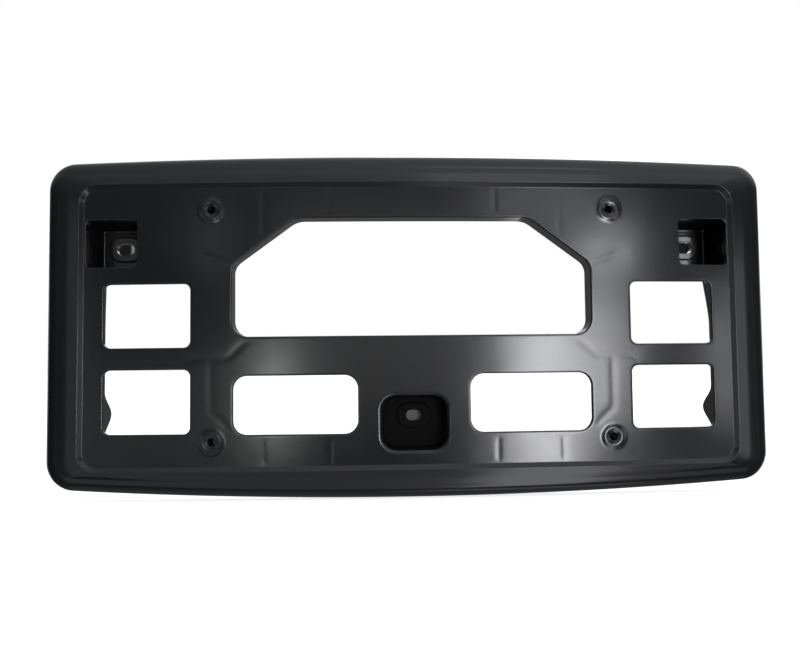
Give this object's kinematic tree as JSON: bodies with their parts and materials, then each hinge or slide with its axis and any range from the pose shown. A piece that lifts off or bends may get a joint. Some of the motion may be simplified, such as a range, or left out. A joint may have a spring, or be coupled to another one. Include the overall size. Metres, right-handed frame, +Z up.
{
  "type": "number plate holder",
  "caption": "One-piece moulded plastic holder that carries a number plate on a car's bumper, with windows, plate screw bosses and recessed bolt pockets.",
  "frame": {"origin": "the middle of the four plate screws, level with the face at the screws", "axes": "+X to the right across the holder's width, +Z up, and the front face looks along -Y"},
  "size_m": [0.385, 0.0378, 0.1795],
  "materials": {
    "black_plastic": "satin black moulded plastic"
  },
  "bodies": {
    "root": {"plate_holder": "black_plastic"}
  },
  "joints": []
}
